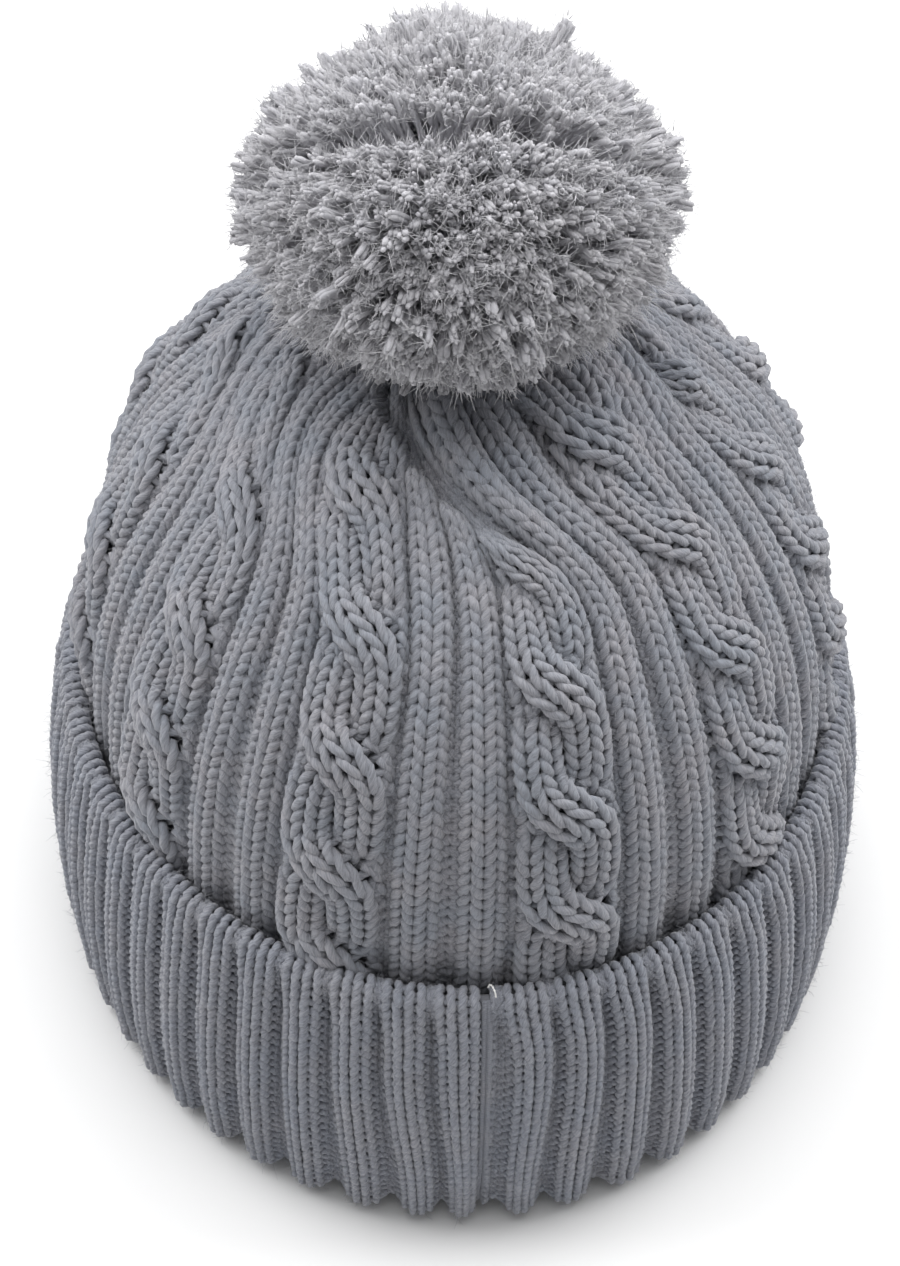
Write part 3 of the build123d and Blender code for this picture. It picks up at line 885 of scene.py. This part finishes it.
def build_lowest_strands():
    """The lowest strands, which lie on the crown and stay there when the pom-pom leans."""
    angle = 2 * np.pi * random.random(LOWEST_STRANDS)
    radius = LOWEST_REACH[0] + LOWEST_REACH[1] * random.random(LOWEST_STRANDS) ** 0.7
    height = crown_skin(radius, angle) + LOWEST_RISE[0] + LOWEST_RISE[1] * random.random(LOWEST_STRANDS)
    ends = np.stack([radius * np.cos(angle) + POMPOM_CENTRE[0], radius * np.sin(angle), height], -1)
    around = LOWEST_START[0] * np.stack([np.cos(angle), np.sin(angle)], -1)
    starts = np.concatenate([around, np.full((LOWEST_STRANDS, 1), LOWEST_START[1])], -1)
    return strand_bundle("pompom_lowest_strands", ends, starts, LOWEST_RADIUS, 0.35, 1.0)[0]


# --- Camera, floor and light ---
CAMERA_ELEVATION = 0.797
CAMERA_AZIMUTH = -0.082
CAMERA_ROLL = 0.035
CAMERA_DISTANCE = 795.0
CAMERA_LENS = 139.2
CAMERA_TARGET = (0.0, 0.0, 90.0)
CAMERA_SLIDE = (1.7, 10.2)  # how far the camera moves left and down, so the hat sits a little high
FLOOR_SIZE = 6.0
FLOOR_GAP = 0.0002  # keeps the floor just under the hat
FLOOR_COLOUR = (0.82, 0.82, 0.82, 1)
WORLD_STRENGTH = 0.39
LIGHT_AIM = (0, 0, 0.1)  # places of the lights and what they shine at, in metres
TOP_LIGHT = (0.0, 0.12, 1.25)
SIDE_LIGHT = (0.9, 0.34, 0.95)


def add_camera():
    """Looks down at the back of the hat. Angles are in radians, the azimuth from -Y."""
    target = np.array(CAMERA_TARGET)
    flat = np.cos(CAMERA_ELEVATION)
    sine, cosine = np.sin(CAMERA_AZIMUTH), np.cos(CAMERA_AZIMUTH)
    back = np.array([sine * flat, -cosine * flat, np.sin(CAMERA_ELEVATION)])
    level = np.array([cosine, sine, 0])
    upright = np.cross(back, level)
    right = np.cos(CAMERA_ROLL) * level + np.sin(CAMERA_ROLL) * upright
    up = np.cos(CAMERA_ROLL) * upright - np.sin(CAMERA_ROLL) * level
    place = target + CAMERA_DISTANCE * back - CAMERA_SLIDE[0] * right - CAMERA_SLIDE[1] * up
    data = bpy.data.cameras.new("camera")
    data.sensor_fit = "HORIZONTAL"
    data.sensor_width = 36.0
    data.lens = CAMERA_LENS
    data.clip_start = 0.01
    camera = bpy.data.objects.new("camera", data)
    matrix = Matrix((right, up, back)).transposed().to_4x4()
    matrix.translation = Vector(place * MM)
    camera.matrix_world = matrix
    bpy.context.scene.collection.objects.link(camera)
    bpy.context.scene.camera = camera


def add_area_light(name, place, size, power):
    """A round soft light in metres and watts that shines at the hat."""
    data = bpy.data.lights.new(name, "AREA")
    data.shape = "DISK"
    data.size = size
    data.energy = power
    lamp = bpy.data.objects.new(name, data)
    lamp.location = place
    lamp.rotation_euler = (Vector(LIGHT_AIM) - Vector(place)).to_track_quat("-Z", "Y").to_euler()
    bpy.context.scene.collection.objects.link(lamp)


def add_studio():
    """Pale floor, white surroundings and soft lights from above."""
    corners = FLOOR_SIZE * np.array([[-1, -1, 0], [1, -1, 0], [1, 1, 0], [-1, 1, 0]]) / MM
    floor = add_mesh("floor", corners, np.array([[0, 1, 2, 3]]))
    floor.location.z = -FLOOR_GAP
    paint = new_material("floor_paint", Base_Color=FLOOR_COLOUR, Roughness=0.9)[0]
    floor.data.materials.append(paint)
    world = bpy.data.worlds.new("studio")
    world.use_nodes = True
    set_values(world.node_tree.nodes["Background"], {"Color": (1, 1, 1, 1), "Strength": WORLD_STRENGTH})
    bpy.context.scene.world = world
    add_area_light("top_light", TOP_LIGHT, 1.4, 14.0)
    for name, side in (("left_light", -1), ("right_light", 1)):
        add_area_light(name, (side * SIDE_LIGHT[0], *SIDE_LIGHT[1:]), 1.0, 10.5)
    bpy.context.scene.view_settings.view_transform = "Standard"


# --- Threads, seams and label ---
GATHER_COIL = (4.9, 171.1)  # radius and height
TIE_ENDS = (165.6, 177.4)  # heights
WRAP_COIL = (3.35, 175.4, 176.6)  # radius, lowest and highest turn
BINDING_RADIUS = 5.0
BINDING_HEIGHT = 200.0
STEM_ENDS = (180.0, 194.4)
KNOT_HEIGHT = 160.6
KNOT_SIZE = 1.15
KNOT_TAIL = 11.0
KNOT_TAIL_LEAN = np.radians(35)
BACK_SEAM_BAND = ((79.1, 12.5), (83.0, 37.5), (78.7, 62.0))  # half width and height inside the band
BACK_SEAM_WIDTH = 78.7  # half width where it enters the crown
BACK_SEAM_RISE = 91.7  # and how far the crown rises over it there
BACK_SEAM_PITCH = 2.6  # from one overlock stitch to the next
CUFF_SEAM_LINES = ((0.2, 1.6), (1.5, 1.3))  # place beside the seam's middle, and depth
CUFF_SEAM_DEPTH_AT = (0, 0.15, 0.6, 1.0)
TACK_PLACE = (1.6, 74.3)  # X and height
TACK_INSET = 2.9  # how far inside the rim the thread comes out
LABEL_WIDTH = 26.0
LABEL_LENGTH = 32.0
LABEL_TOP = 68.0
LABEL_FRONT = -89.7
LABEL_GAP = 0.6  # between its two folded halves
LABEL_STITCH = 2.4
LABEL_STITCH_HEIGHT = 66.4


def plied_yarn(name, paths, radius, plies=3, twist=0.7):
    """Twisted yarn along paths, an array of paths by points by 3. radius is that of the whole yarn."""
    along = unit(np.gradient(paths, axis=1))
    distance = np.cumsum(np.linalg.norm(np.gradient(paths, axis=1), axis=-1), axis=1)
    helper = np.where(np.abs(along[..., 2:]) > 0.8, [1.0, 0.0, 0.0], [0.0, 0.0, 1.0])
    side = unit(np.cross(along, helper))
    other = np.cross(along, side)
    lines = []
    for ply in range(plies):
        turn = (twist * distance / radius + 2 * np.pi * ply / plies)[..., None]
        lines.append(paths + 0.5 * radius * (np.cos(turn) * side + np.sin(turn) * other))
    lines = np.concatenate(lines)
    radii = np.full(lines.shape[:2], 0.56 * radius)
    across = np.concatenate([side] * plies)
    return add_tubes(name, lines, radii, across, sides=8, length=float(distance.max()))


def coil(radius, low, high, turns, steps=160):
    """A helix about the axis."""
    angle = np.linspace(0, 2 * np.pi * turns, steps)
    height = np.linspace(low, high, steps)
    return np.stack([radius * np.cos(angle), radius * np.sin(angle), height], -1)[None]


def upright_line(low, high, steps):
    """Points up the axis of the hat."""
    return np.linspace([0, 0, low], [0, 0, high], steps)


def build_tie():
    """The gather thread, the tie, its wraps, its knot and the wound core of the pom-pom."""
    gather = coil(GATHER_COIL[0], GATHER_COIL[1], GATHER_COIL[1], 1.0, 120)
    gather[..., 2] += 0.25 * np.sin(np.linspace(0, 12 * np.pi, 120))
    finish_piece(plied_yarn("gather_yarn", gather, 0.8), knit_yarn, "hat", "gather_thread")
    shank = upright_line(*TIE_ENDS, 60)[None]
    finish_piece(plied_yarn("tie_yarn", shank, 1.6), pompom_yarn, "tie", "tie_shank")
    wraps = coil(*WRAP_COIL, 3.0)
    finish_piece(plied_yarn("neck_wrap_yarn", wraps, 0.75), pompom_yarn, "collar", "neck_wrap")
    polar = np.linspace(0.06, 0.94, 400) * np.pi
    angle = np.linspace(0, 14 * np.pi, 400)
    ball = np.stack([np.sin(polar) * np.cos(angle), np.sin(polar) * np.sin(angle), -np.cos(polar)], -1)
    ball = BINDING_RADIUS * ball + [0, 0, BINDING_HEIGHT]
    binding = plied_yarn("pompom_binding_yarn", np.stack([ball, upright_line(*STEM_ENDS, 400)]), 0.95)
    finish_piece(binding, pompom_yarn, "pompom", "pompom_binding")
    build_knot()


def build_knot():
    """Overhand knot with two clipped ends inside the crown."""
    turn = np.linspace(0, 2 * np.pi, 120)
    ring = 1.9 + 0.95 * np.cos(3 * turn)
    trefoil = np.stack([ring * np.cos(2 * turn), 1.25 * np.sin(3 * turn), ring * np.sin(2 * turn)], -1)
    out, down = KNOT_TAIL * np.sin(KNOT_TAIL_LEAN), KNOT_TAIL * np.cos(KNOT_TAIL_LEAN)
    tails = [np.linspace([0, 0, 0], [side * out, 0, -down], 120) for side in (-1, 1)]
    paths = np.stack([trefoil * KNOT_SIZE, *tails]) + [0, 0, KNOT_HEIGHT]
    finish_piece(plied_yarn("anchor_knot_yarn", paths, 1.25), pompom_yarn, "hat", "anchor_knot")


def build_back_seam():
    """Overlocked seam allowance down the inside of the back."""
    level = np.linspace(0, 0.9375, 60)
    half = BACK_SEAM_WIDTH * np.sqrt(1 - level**CROWN_ROUNDNESS)
    dome = np.stack([half, CROWN_BASE + BACK_SEAM_RISE * level], -1)
    low = arc_through(*BACK_SEAM_BAND)
    curve = np.concatenate([low, dome])
    steps = np.concatenate([[0], np.cumsum(np.linalg.norm(np.diff(curve, axis=0), axis=1))])
    spots = np.linspace(0, steps[-1], 1500)
    middle = np.stack([np.interp(spots, steps, c) for c in curve.T], -1)
    slope = unit(np.gradient(middle, axis=0))
    angle = spots * (2 * np.pi / BACK_SEAM_PITCH)
    inner = 1.25 * np.sin(angle)
    back = -DEPTH_RATIO * middle[:, 0]
    path = np.stack([1.85 * np.cos(angle), back + slope[:, 1] * inner, middle[:, 1]], -1)
    core = np.stack([0 * spots, back, middle[:, 1]], -1)
    core = np.stack([core + [x, 0, 0] for x in (-1.1, 0.0, 1.1)])
    radii = np.full((3, len(spots)), 1.1)
    across = np.broadcast_to([1.0, 0, 0], core.shape)
    finish_piece(add_tubes("back_seam_edges", core, radii, across), cuff_yarn, "hat", "back_seam")
    finish_piece(plied_yarn("back_seam_overlock", path[None], 0.42, 2), cuff_yarn, "hat")


def build_cuff_seam():
    """Smooth selvedge in the gap of the cuff's ribbing, sinking away towards the fold."""
    along = np.linspace(4.0, cuff.length - 12.0, 200)
    lines, normals = [], []
    for offset, lower in CUFF_SEAM_LINES:
        depths = (0.6, lower, lower + 0.3, lower + 1.2)
        sunk = np.interp(along / cuff.length, CUFF_SEAM_DEPTH_AT, depths)
        fraction = np.full(len(along), offset / (CUFF_MID[0] * RING_LENGTH))
        points, normal = cuff.place(fraction, along, sunk)
        lines.append(points)
        normals.append(normal)
    radii = np.full((2, len(along)), 0.9)
    seam = add_tubes("cuff_seam_edge", np.array(lines), radii, np.array(normals))
    finish_piece(seam, cuff_yarn, "hat", "cuff_seam")


def build_tack():
    """Short end of thin white thread where the cuff is caught to the crown."""
    crest = -DEPTH_RATIO * (CUFF_UNDER_RIM[0] - TACK_INSET)
    turn = np.linspace(-0.2, 3.6, 60)
    side, height = TACK_PLACE
    in_and_out = crest + 0.3 - 1.5 * np.cos(turn)
    hook = np.stack([side + 0.7 * np.cos(turn * 0.8), in_and_out, height + 1.1 * np.sin(turn)], -1)
    thread = plied_yarn("tack_thread", hook[None], 0.2, 2)
    finish_piece(thread, white_thread, "hat", "cuff_tack_stitch")


def build_label():
    """Blank satin label, folded at its bottom edge, with its stitches along the top."""
    across = np.linspace(-LABEL_WIDTH / 2, LABEL_WIDTH / 2, 27)
    x, drop = np.meshgrid(across, np.linspace(0, LABEL_LENGTH, 33))
    wave = 0.12 * np.sin(x * 0.35) * drop / LABEL_LENGTH
    front = np.stack([x, LABEL_FRONT + wave, LABEL_TOP - drop], -1)
    back = front + [0, LABEL_GAP, 0]
    points = np.concatenate([front.reshape(-1, 3), back.reshape(-1, 3)])
    rows, count = x.shape
    index = np.arange(rows * count).reshape(rows, count)
    one_side = faces_between(index[:-1, :-1], index[1:, :-1], index[1:, 1:], index[:-1, 1:])
    border = np.concatenate([index[0, :-1], index[:-1, -1], index[-1, :0:-1], index[:0:-1, 0]])
    beside = np.roll(border, -1)
    edges = faces_between(border, beside, beside + rows * count, border + rows * count)
    quads = np.concatenate([one_side, one_side[:, ::-1] + rows * count, edges])
    flat = np.concatenate([np.stack([x / 60 + shift, drop / 34], -1) for shift in (0.25, 0.75)])
    label = add_mesh("care_label_satin", points, quads, uvs={"OFBake": flat.reshape(-1, 2)[quads]})
    finish_piece(label, satin, "label", "care_label")
    build_label_stitches()


def build_label_stitches():
    """The row of small stitches that holds the label at its top."""
    stitch_x = np.arange(-12, 12.1, LABEL_STITCH)
    steps = np.linspace(0, 1, 8)
    stitches = np.stack([np.broadcast_to(stitch_x[:, None] + 1.6 * steps, (len(stitch_x), 8))] * 3, -1)
    stitches[..., 1] = LABEL_FRONT - 0.05 - 0.15 * np.sin(steps * np.pi)
    stitches[..., 2] = LABEL_STITCH_HEIGHT
    radii = np.full(stitches.shape[:2], 0.16)
    across = np.broadcast_to([0.0, 1.0, 0.0], stitches.shape)
    finish_piece(add_tubes("care_label_stitches", stitches, radii, across), white_thread, "label")


# --- Loose fibres on the knitting ---
# Number of fibres, how far off the middle of the fabric they start, and their length
CROWN_FUZZ = (45000, 1.4, 2.0)
CUFF_FUZZ = (16000, 1.2, 1.4)
FUZZ_RADIUS = 0.045


def build_fuzz(name, layout, sign, count, lift, length):
    """Fibres that stand off a knitted layer."""
    column = random.uniform(0, layout.columns, count)
    along = random.uniform(1.0, layout.profile.length - 3.0, count)
    height = sign * (layout.height(column, along) + lift)
    roots, normals = layout.profile.place(layout.fraction(column, along), along, height)
    directions = unit(0.55 * sign * normals + random.normal(0, 0.7, roots.shape))
    return fibres(name, roots, directions, length, FUZZ_RADIUS)


# --- Build ---
crown_ribs, crown_cables = build_crown()
finish_piece(crown_ribs, knit_yarn, "hat", "crown_shell")
finish_piece(crown_cables, knit_yarn, "hat")
crown_backing = build_backing("crown_backing", crown_layout, 1, 1.0, crown.length - 1.0)
finish_piece(crown_backing, backing_wool, "hat")
finish_piece(build_fuzz("crown_fuzz", crown_layout, 1.0, *CROWN_FUZZ), fibre_wool, "hat")

cuff_layout = rib_layout(cuff, CUFF_PURL_WIDTH, CUFF_RELIEF)
cuff_knit = build_ribbing("cuff_knit", cuff_layout, -1.0, 2.4)
finish_piece(cuff_knit, cuff_yarn, "hat", "cuff")
band_layout = rib_layout(band, EVEN, EVEN)
band_knit = build_ribbing("band_knit", band_layout, 1.0, 1.2)
finish_piece(band_knit, cuff_yarn, "hat", "rib_band")
cuff_backing = build_backing("cuff_backing", cuff_layout, -1, 1.0, cuff.length - 1.0)
finish_piece(cuff_backing, backing_wool, "hat")
finish_piece(build_fuzz("cuff_fuzz", cuff_layout, -1.0, *CUFF_FUZZ), fibre_wool, "hat")

pompom, pompom_fluff = build_pompom()
finish_piece(pompom, pompom_yarn, "pompom", "pompom_ball")
finish_piece(pompom_fluff, pompom_fibre, "pompom")
finish_piece(build_lowest_strands(), pompom_yarn, "tie")

build_tie()
build_back_seam()
build_cuff_seam()
build_tack()
build_label()

add_camera()
add_studio()
